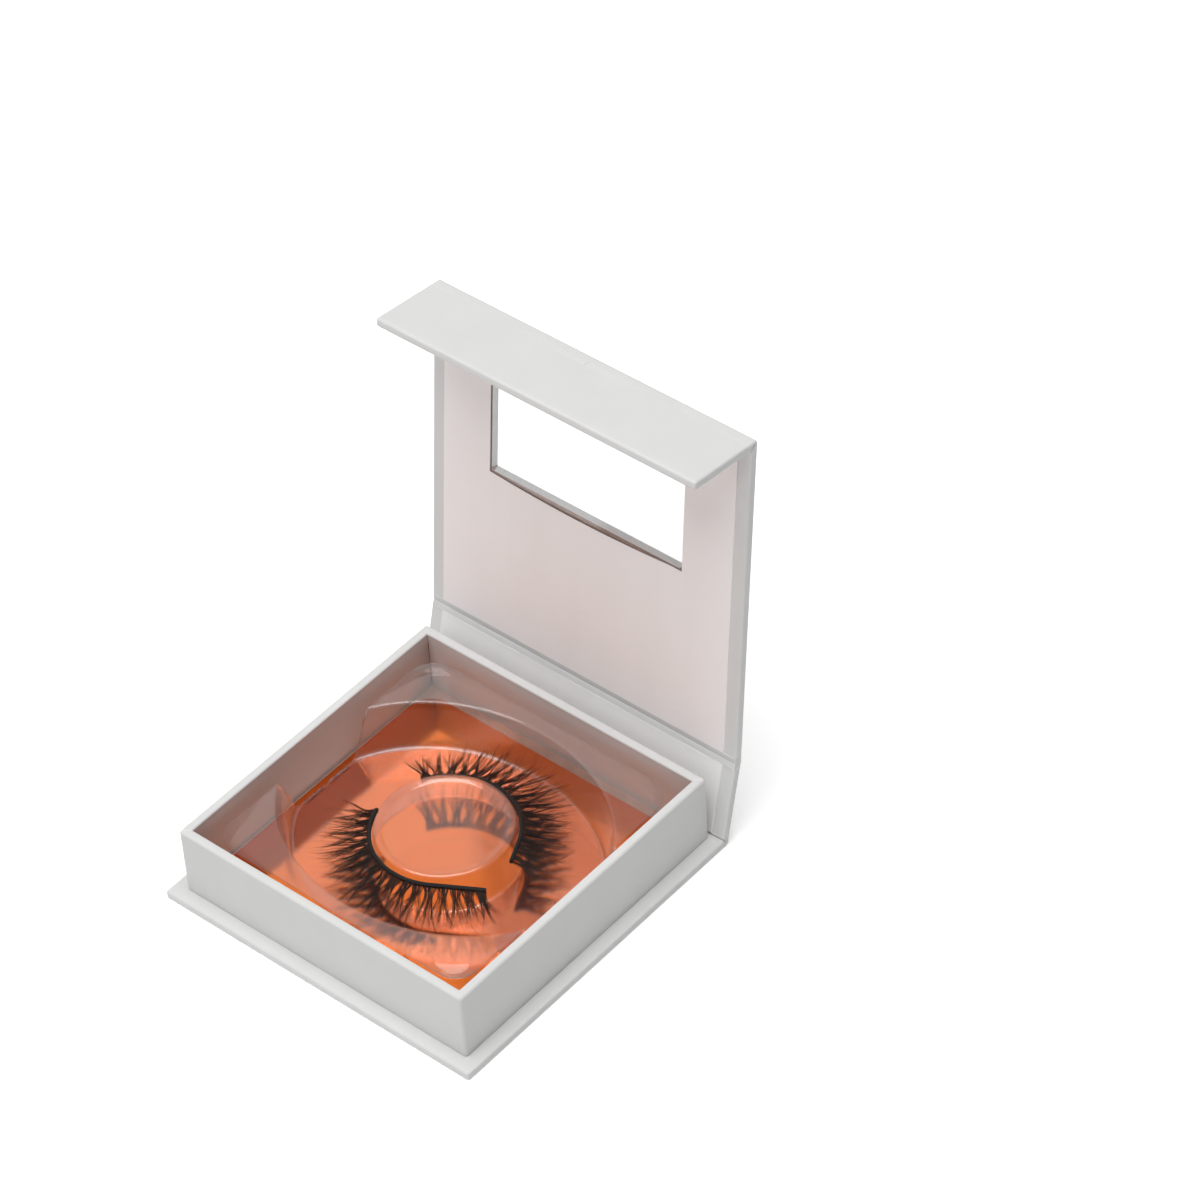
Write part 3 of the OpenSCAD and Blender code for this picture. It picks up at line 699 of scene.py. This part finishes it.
def innerFold(turn, fromPoint, toPoint, depth):
    # lines the hollow of a fold, and closes its two sides down to the outer paper
    a = math.radians(turn)
    axis = Vector((0, case["axisIn"]))
    first = Vector(fromPoint)
    last = axis + Vector(turned(*(Vector(toPoint) - axis), a))
    low = axis + Vector(turned(0, -depth, a / 2))
    outerRadius = axis.y - paperT - fold["gap"]
    path, under = [], []
    for t in spaced(0, 1, 14):
        pull = math.sin(math.pi * t) ** 1.3
        path.append(first.lerp(last, t).lerp(low, pull))
        straight = lerp(first.x, 0, min(1, t * 4)) + lerp(0, toPoint[0], max(0, t * 4 - 3))
        under.append(axis + Vector(turned(straight, -outerRadius, a * clamp((t - 0.25) * 2))))
    half = panelW / 2 - fold["innerIn"]
    columns = [(-half, 1), (-half + 0.03, 0.5), (-half + 0.15, 0.06)]
    columns += [(x, 0) for x in spaced(-half + 0.6, 0, 15)]
    columns += [(-x, sink) for x, sink in reversed(columns[:-1])]
    grids = []
    for inward in (0, fold["innerThick"]):
        rows = []
        for k, p in enumerate(path):
            along = (path[min(k + 1, len(path) - 1)] - path[max(k - 1, 0)]).normalized()
            side = Vector((along.y, -along.x)) * inward
            row = []
            for x, sink in columns:
                inX = x - (inward if x > 0 else -inward) * (sink > 0)
                row.append((inX, *(p + side * (1 - sink)).lerp(under[k], sink)))
            rows.append(row)
        grids.append(rows)
    return solidSheet(*grids)


def addFold(name, parentPlace, along, turn, back, replaced, innerStart, innerDepth):
    place = parentPlace @ Matrix.Translation((0, along, 0))
    outer = makePiece(name + "Paper", [outerFold(turn, back, boardEnd - fold["gap"])], place, None, wrapPaper,
                      replaced)
    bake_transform(outer)
    ahead = (boardEnd, panelT + fold["innerRise"])
    inner = makePiece(name + "Inner", [innerFold(turn, innerStart, ahead, innerDepth)], place, None,
                      wrapPaper)
    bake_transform(inner)


def foldEnd(side):
    # folded-in end of the spine's paper, which closes the side of the fold when the cover lies flat
    x = panelW / 2 - fold["endIn"]
    return solidSheet(*[[[(side * face, along, high) for along in spaced(near, fold["endFar"], 3)]
                         for near, high in fold["endEdge"]] for face in (x, x - fold["endThick"])])


baseGap = case["axisY"] - case["baseRear"]
panelStart = (-boardEnd, panelT + fold["innerRise"])
makePiece("spineFoldEnds", [foldEnd(-1), foldEnd(1)], spinePlace, "spine", wrapPaper)
addFold("spineFold", flatPlace, case["axisY"], case["spineTurn"], baseGap,
        ["spine_hinge"], (-baseGap, panelT), 0.3)
addFold("lidFold", spinePlace, case["spineSpan"], case["lidTurn"], boardEnd,
        ["lid_hinge"], panelStart, -1.0)
addFold("flapFold", lidPlace, case["lidSpan"], case["flapTurn"], boardEnd,
        ["flap_hinge"], panelStart, 0.2)
print("folds papered")


# Tray: one sheet over the walls and the rim, down inside to the floor, and turned under

tray = dict(corner=0.65, innerCorner=0.15, rimOuter=0.5, rimInner=0.35, foot=0.25, turnUnder=9, bow=0.06,
            seam=0.45, seamHalf=0.12, seamTop=0.5, seamFade=3)


def squareLoop(half, corner, sideSteps=16, cornerSteps=5):
    points = []
    for quarter in range(4):
        side = [(half, y) for y in spaced(-half + corner, half - corner, sideSteps)]
        for a in quarterArc(cornerSteps)[1:-1]:
            side.append((half - corner + corner * math.cos(a), half - corner + corner * math.sin(a)))
        points += [turned(x, y, quarter * math.pi / 2) for x, y in side]
    return points


def trayRings():
    wall, rim, floor = case["wall"], case["rimTop"], case["trayFloor"]
    outerR, innerR, footR = tray["rimOuter"], tray["rimInner"], tray["foot"]
    rings = [((tray["turnUnder"], floor), (tray["turnUnder"], floor + paperT))]
    rings += paperBend(footR, floor + footR, footR, [(-math.sin(a), -math.cos(a)) for a in quarterArc(3)])
    rings += [((0, z), (paperT, z)) for z in spaced(floor + 1.2, rim - 1.5, 6)]
    rings += paperBend(outerR, rim - outerR, outerR, [(-math.cos(a), math.sin(a)) for a in quarterArc(6)])
    inward = [(math.sin(a), math.cos(a)) for a in quarterArc(5)]
    rings += paperBend(wall - innerR, rim - innerR, innerR, inward)
    rings += [((wall, z), (wall - paperT, z)) for z in spaced(rim - 1.5, case["innerFloor"], 6)]
    return rings


def trayPaper(first, last):
    half, rim, floor, grids = case["trayHalf"], case["rimTop"], case["trayFloor"], []
    for side in (0, 1):
        rows = []
        for ring in trayRings()[first:last]:
            (inset, z), outset = ring[side], ring[0][0]
            corner = lerp(tray["corner"], tray["innerCorner"], clamp(outset / case["wall"]))
            seamed = outset > case["wall"] - 0.01 and floor + 1 < z < rim - tray["seamTop"]
            high = clamp((z - floor) / (rim - floor))
            row = []
            for x, y in squareLoop(half - inset, max(corner - (inset - outset), 0.04)):
                swell = tray["bow"] * high * (1 - min(1, (min(abs(x), abs(y)) / half) ** 2))
                bend = swell * noise.noise(Vector((x * 0.04, y * 0.04, 1.3)))
                if seamed:
                    seam = max(0, 1 - abs(abs(x) - abs(y)) / tray["seamHalf"])
                    bend -= tray["seam"] * seam * min(1, (rim - tray["seamTop"] - z) / tray["seamFade"])
                row.append((x * (1 - bend / half), y * (1 - bend / half), z))
            rows.append(row)
        grids.append(rows)
    return solidSheet(*grids, closed=True)


innerRows = 8  # rings of the inner walls, from the rim down
makePiece("trayPaper", [trayPaper(0, 1 - innerRows)], flatPlace, "tray", wrapPaper,
          ["tray_wrap"])
# the inner walls take the darker copy of the wrap paper, painted shade
makePiece("trayInnerPaper", [trayPaper(-innerRows, None)], flatPlace, "tray", trayShadePaper)
print("tray wrapped")


# Foil card, lying loose on the tray's floor

card = dict(width=61.6, corner=5, x=-0.55, y=-1.05, low=3.35, thick=0.5, edge=0.08, gap=0.01, wave=0.03)


def foilCard():
    half, low, high, e = card["width"] / 2, card["low"], card["low"] + card["thick"], card["edge"]
    rings = [(inset, low + card["gap"]) for inset in (half - 0.02, 20, e)]
    rings += [(0, low + e), (0, high - e), (e * 0.3, high - e * 0.3)]
    rings += [(inset, high - card["gap"]) for inset in (e, 1, 3, 6, 10, 14, 18, 22, 26, half - 0.02)]
    rows = []
    for inset, z in rings:
        row = []
        for x, y in squareLoop(half - inset, max(card["corner"] - inset, 0.01), 24, 8):
            drop = card["wave"] * max(0, noise.noise(Vector((x * 0.06, y * 0.06, 5.2))))
            row.append((x + card["x"], y + card["y"], z - (drop if z > low + 0.2 else 0)))
        rows.append(row)
    return cappedLoops(rows)


makePiece("foilCard", [foilCard()], flatPlace, "foil_card", copperFoil, ["foil_card"])
print("foil card laid")


# Lash tray: one clear sheet with a flange, an oval well and a round pedestal

clear = dict(half=29.7, corner=5, flange=14.05, floor=4.18, sheet=0.3, sheetGap=0.02, wellA=33.1,
             wellB=26.7, wallFoot=0.9, wallLip=0.7, wallTurn=80, draft=1.4, rimR=13.05, footR=14.1,
             top=11.75, dish=0.4, lipWidth=1.2, steps=216, wave=0.05)


def wallProfile():
    # rounded at the floor and at the flange, straight between; distance outside the oval, and height
    low, high, foot, lip = clear["floor"], clear["flange"], clear["wallFoot"], clear["wallLip"]
    turns = [math.radians(clear["wallTurn"] * k / 8) for k in range(9)]
    points = []
    for a in turns:
        points.append((-clear["draft"] - foot + foot * math.sin(a) - 0.1, low + foot - foot * math.cos(a)))
    for a in reversed(turns):
        points.append((lip - lip * math.sin(a) - 0.05, high - lip + lip * math.cos(a)))
    return points


clear["wall"] = wallProfile()


def wallHeight(x, y):
    # height of the well's wall, by the distance inside its oval
    low, high = -9.0, 6.0
    for _ in range(24):
        middle = (low + high) / 2
        if (x / (clear["wellA"] + middle)) ** 2 + (y / (clear["wellB"] + middle)) ** 2 > 1:
            low = middle
        else:
            high = middle
    for (d0, z0), (d1, z1) in zip(clear["wall"], clear["wall"][1:]):
        if d0 <= low <= d1:
            return lerp(z0, z1, (low - d0) / (d1 - d0))
    return clear["floor"] if low < 0 else clear["flange"]


def squareReach(angle):
    half, corner = clear["half"], clear["corner"]
    c, s = abs(math.cos(angle)), abs(math.sin(angle))
    edge = min(half / c if c > 1e-9 else 1e9, half / s if s > 1e-9 else 1e9)
    x, y = edge * c, edge * s
    inner = half - corner
    if x > inner and y > inner:
        dot = inner * c + inner * s
        edge = dot + math.sqrt(dot * dot - 2 * inner * inner + corner * corner)
    return edge


def lashTraySheet():
    top, rimR, footR, floor = clear["top"], clear["rimR"], clear["footR"], clear["floor"]
    inside, bowl = rimR - clear["lipWidth"], top - clear["dish"]
    angles = spaced(0, 2 * math.pi, clear["steps"])[:-1]
    rounds = [(r, bowl) for r in (0, 4, 8, inside - 1.2, inside - 0.55)]  # pedestal: radius and height
    rounds += [(inside - 0.3, bowl + 0.06), (inside - 0.1, top - 0.12), (inside + 0.1, top - 0.02)]
    rounds += [(inside + 0.35, top), (rimR - 0.5, top), (rimR - 0.25, top - 0.06), (rimR - 0.08, top - 0.2)]
    rounds += [(rimR + 0.02, top - 0.45)]
    rounds += [(lerp(rimR, footR, t), lerp(top, floor, t)) for t in spaced(0.1, 0.86, 7)]
    rounds += [(footR - 0.06, floor + 0.55), (footR + 0.12, floor + 0.22), (footR + 0.4, floor + 0.05)]
    rounds += [(footR + 0.8, floor)]
    pedestal = [[(r * math.cos(a), r * math.sin(a), z) for a in angles] for r, z in rounds]
    points = [d for d, _ in clear["wall"]]
    insets = [-8, -5.5, -3.5, -2.8] + points[:9]
    insets += [lerp(points[8], points[9], t) for t in (0.2, 0.4, 0.6, 0.8)] + points[9:] + [1.2, 2]
    well = []
    for inset in insets:
        row = []
        for a in angles:
            x, y = (clear["wellA"] + inset) * math.cos(a), (clear["wellB"] + inset) * math.sin(a)
            far, edge = math.hypot(x, y), squareReach(math.atan2(y, x))
            if far > edge:
                x, y = x * edge / far, y * edge / far
            row.append((x, y, wallHeight(x, y)))
        well.append(row)
    bridge = []
    for t in (0.3, 0.65):
        pairs = zip(pedestal[-1], well[0])
        bridge.append([(lerp(p[0], q[0], t), lerp(p[1], q[1], t), floor) for p, q in pairs])
    border = []
    for t in (0.5, 1):
        row = []
        for x, y, _ in well[-1]:
            angle = math.atan2(y, x)
            edge = squareReach(angle)
            px, py = lerp(x, edge * math.cos(angle), t), lerp(y, edge * math.sin(angle), t)
            row.append((px, py, wallHeight(px, py)))
        border.append(row)
    rows = pedestal + bridge + well + border
    verts = []
    for row in rows:
        for x, y, z in row:
            shake = clear["wave"] * noise.noise(Vector((x * 0.12, y * 0.12, z * 0.12 + 9)))
            verts.append((x, y, z + abs(shake) * clamp((math.hypot(x, y) - 15) / 4)))
    return verts, loopFaces(len(rows), clear["steps"])


def thicken(piece, thickness):
    # gives an open sheet its thickness below the surface that was drawn
    solid = piece.modifiers.new("sheet", "SOLIDIFY")
    solid.thickness = thickness * mm
    solid.offset = -1
    graph = bpy.context.evaluated_depsgraph_get()
    made = bpy.data.meshes.new_from_object(piece.evaluated_get(graph), depsgraph=graph)
    piece.modifiers.clear()
    piece.data = made


def addLashTray():
    piece = makePiece("lashTray", [lashTraySheet()], flatPlace, None, clearSheet,
                      ["lash_tray"], sharp=60)
    if sum(polygon.normal.z for polygon in piece.data.polygons) < 0:
        piece.data.flip_normals()
    thicken(piece, clear["sheet"] - clear["sheetGap"])
    for polygon in piece.data.polygons:
        polygon.use_smooth = True
    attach(piece, "lash_tray")


addLashTray()
print("lash tray formed")


# Lashes: a thread band glued on the pedestal, and curved hairs in clusters

lash = dict(bandZ=10.25, bandR=13.466, bandThick=0.5, bandHigh=1.0, bandSteps=150, rootR=14.0, tailFan=3.0,
            clusters=16, tufts=5, perTuft=9, loose=240, mid=12.2, end=8.4, skew=0.8, fall=0.38, curl=0.018,
            stem=0.76, leave=0.6, gather=1.45, part=2.1, open=4.0, thick=0.05, points=9,
            outline=[(0.08, -0.5), (0.0, -0.3), (0.02, 0.25), (0.14, 0.5), (0.55, 0.5), (0.76, 0.3),
                     (0.74, -0.2), (0.5, -0.5)])  # of the band: outward and up, in shares of its size
lashes = {
    "front_lash": dict(start=-165, stop=-60, tail=10.2, mirror=1, seed=11),
    "back_lash": dict(start=-150, stop=-25, tail=5.0, mirror=-1, seed=29),
}


def lashPlaceAt(side, s, r):
    # point and outward direction at a distance s along a lash, on a circle of radius r
    arc = math.radians(side["stop"] - side["start"]) * lash["rootR"]
    a = math.radians(side["start"]) + min(s, arc) / lash["rootR"]
    tail = max(0, s - arc)
    out = a + math.radians(lash["tailFan"]) * tail
    x = r * math.cos(a) - tail * math.sin(a)
    y = r * math.sin(a) + tail * math.cos(a)
    return (x, y * side["mirror"]), (math.cos(out), math.sin(out) * side["mirror"])


def lashLength(side):
    return math.radians(side["stop"] - side["start"]) * lash["rootR"] + side["tail"]


def bandMesh(side):
    rng = random.Random(side["seed"] + 100)
    rows = []
    for s in spaced(0, lashLength(side), lash["bandSteps"]):
        twist = 0.03 * math.sin(s * 7.5) + rng.uniform(-0.015, 0.015)
        low = 0.06 * noise.noise(Vector((s * 0.4, side["seed"], 0)))
        row = []
        for d, z in lash["outline"]:
            wide = lash["bandThick"] * (d - 0.25) / 0.5 * (1 + twist * 2) + 0.25
            (x, y), _ = lashPlaceAt(side, s, lash["bandR"] + wide)
            row.append((x, y, lash["bandZ"] + lash["bandHigh"] * z * (1 - abs(twist)) + low))
        rows.append(row)
    return cappedLoops(rows)


def strandTube(points, thick):
    verts, faces = [], []
    last = len(points) - 1
    for k, p in enumerate(points[:-1]):
        along = (points[k + 1] - points[max(k - 1, 0)]).normalized()
        side = along.cross(Vector((0, 0, 1))).normalized()
        up = side.cross(along)
        r = thick * (1 - 0.82 * (k / last) ** 1.6)
        for q in range(3):
            a = 2 * math.pi * q / 3
            verts.append(tuple(p + side * r * math.cos(a) + up * r * math.sin(a)))
    verts.append(tuple(points[-1]))
    for k in range(last - 1):
        for q in range(3):
            a, b = k * 3 + q, k * 3 + (q + 1) % 3
            faces.append((a, b, b + 3, a + 3))
    tip, ring = len(verts) - 1, (last - 1) * 3
    faces += [(ring + q, ring + (q + 1) % 3, tip) for q in range(3)]
    faces.append((2, 1, 0))
    return verts, faces


def hairReach(share):
    return lash["end"] + (lash["mid"] - lash["end"]) * math.sin(math.pi * share ** lash["skew"])


def hairMesh(side):
    # every cluster leaves the band as one stem and parts into tufts, whose hairs meet in a point
    rng = random.Random(side["seed"])
    length = lashLength(side)
    pitch = length / lash["clusters"]
    jobs = []  # cluster, place in the stem, way the tip leans, reach, rise, bend
    for cluster in range(lash["clusters"]):
        full = hairReach((cluster + 0.5) / lash["clusters"])
        for tuft in range(lash["tufts"]):
            lane = lerp(-1, 1, tuft / (lash["tufts"] - 1))
            aim = lane * 0.85 + rng.gauss(0, 0.3)
            reach = full * rng.uniform(0.66, 1.05) * (1 - 0.1 * abs(lane))
            rise = rng.gauss(0, 0.06)
            bend = rng.gauss(0, 0.05)
            for _ in range(lash["perTuft"]):
                root = clamp(lane * 0.75 + rng.gauss(0, 0.2), -1, 1)
                lean = aim + (lane * 0.75 - root) * lash["stem"] / lash["open"] + rng.gauss(0, 0.05)
                jobs.append((cluster, root, lean, reach * rng.uniform(0.8, 1.0), rise + rng.gauss(0, 0.01),
                             bend + rng.gauss(0, 0.012)))
    for _ in range(lash["loose"]):
        cluster = rng.randrange(lash["clusters"])
        full = hairReach((cluster + 0.5) / lash["clusters"])
        jobs.append((cluster, rng.uniform(-1, 1), rng.gauss(0, 1.1), full * rng.uniform(0.5, 1.06),
                     rng.gauss(0, 0.07), rng.gauss(0, 0.08)))
    verts, faces = [], []
    for cluster, rootShare, aim, reach, rise, bend in jobs:
        s0 = (cluster + 0.5) * pitch
        rootS = clamp(s0 + rootShare * pitch / 2, 0.1, length - 0.1)
        root, _ = lashPlaceAt(side, rootS, lash["rootR"] - 0.12)
        centre, out = lashPlaceAt(side, s0, lash["rootR"])
        across = (-out[1] * side["mirror"], out[0] * side["mirror"])
        rootZ = rng.uniform(-0.38, 0.38)
        points = []
        for k in range(lash["points"]):
            t = (k / (lash["points"] - 1)) ** 1.25
            d = reach * t
            gathered = clamp((d - lash["leave"]) / (lash["gather"] - lash["leave"]))
            gathered = gathered * gathered * (3 - 2 * gathered)
            drift = rootShare * lerp(pitch / 2, lash["stem"], gathered)
            drift += aim * max(0, d - lash["part"]) / lash["mid"] * lash["open"]
            drift += bend * d * math.sin(math.pi * t) * 1.4
            x = centre[0] + out[0] * d + across[0] * drift
            y = centre[1] + out[1] * d + across[1] * drift
            blend = min(1, d / lash["leave"])
            x, y = lerp(root[0], x, blend), lerp(root[1], y, blend)
            z = lash["bandZ"] + rootZ * (1 - 0.3 * t) + rise * d - lash["fall"] * d + lash["curl"] * d * d
            points.append(Vector((x, y, max(z, clear["floor"] + 0.6))))
        tube, tubeFaces = strandTube(points, lash["thick"] * rng.uniform(0.75, 1.1))
        faces += [tuple(i + len(verts) for i in face) for face in tubeFaces]
        verts += tube
    return verts, faces


for body, side in lashes.items():
    label = body.split("_")[0]
    makePiece(label + "LashBand", [bandMesh(side)], flatPlace, body, blackThread,
              [body + "_band"])
    makePiece(label + "LashHairs", [hairMesh(side)], flatPlace, body, lashFibre,
              [body + "_hairs"], sharp=180)
print("lashes made")


# Floor, lamps and world

studio = dict(floor=(0.9, 0.9, 0.9, 1), reach=4, drop=0.00005, lift=0.3, world=0.15)
white = (1, 1, 1, 1)
lamps = {
    "topLamp": dict(spot=(0.0, -0.2, 1.5), target=(0, 0, 0.03), size=1.5, power=23),
    "frontLamp": dict(spot=(-0.1, -1.3, 1.0), target=(0, 0, 0.05), size=1.0, power=4),
}


def seenDirectly(nodes, links):
    # 1 for what the camera sees straight, in a mirror or through clear sheet, and 0 for light on the object
    path = nodes.new("ShaderNodeLightPath")
    camera, glossy, through = (path.outputs[f"Is {ray} Ray"] for ray in ("Camera", "Glossy", "Transmission"))
    seen = mathNode(nodes, links, "ADD", camera, glossy, clamp=True)
    return mathNode(nodes, links, "ADD", seen, through, clamp=True)


def addFloor():
    mesh = bpy.data.meshes.new("floor")
    reach = studio["reach"]
    corners = [(-reach, -reach, 0), (reach, -reach, 0), (reach, reach, 0), (-reach, reach, 0)]
    mesh.from_pydata(corners, [], [(0, 1, 2, 3)])
    floor = addObject("floor", mesh)
    floor.location.z = -studio["drop"]
    material, nodes, links, shader = newMaterial("paleFloor")
    seen = seenDirectly(nodes, links)
    links.new(mixColor(nodes, links, seen, studio["floor"], white), shader.inputs["Base Color"])
    shader.inputs["Roughness"].default_value = 1
    shader.inputs["Specular IOR Level"].default_value = 0
    shader.inputs["Emission Color"].default_value = white
    links.new(mathNode(nodes, links, "MULTIPLY", seen, studio["lift"]), shader.inputs["Emission Strength"])
    mesh.materials.append(material)


def addLamp(name, spot, target, size, power):
    data = bpy.data.lights.new(name, "AREA")
    data.shape = "DISK"
    data.size = size
    data.energy = power
    lamp = addObject(name, data)
    lamp.location = spot
    lamp.rotation_euler = (Vector(target) - Vector(spot)).to_track_quat("-Z", "Y").to_euler()


def addWorld():
    world = bpy.data.worlds.new("studio")
    scene.world = world
    world.use_nodes = True
    nodes, links = world.node_tree.nodes, world.node_tree.links
    background = nodes["Background"]
    background.inputs["Color"].default_value = white
    strength = mathNode(nodes, links, "MULTIPLY", seenDirectly(nodes, links), 1 - studio["world"])
    links.new(mathNode(nodes, links, "ADD", strength, studio["world"]), background.inputs["Strength"])


addFloor()
for name, settings in lamps.items():
    addLamp(name, **settings)
addWorld()
scene.view_settings.view_transform = "Standard"
print("stage lit")
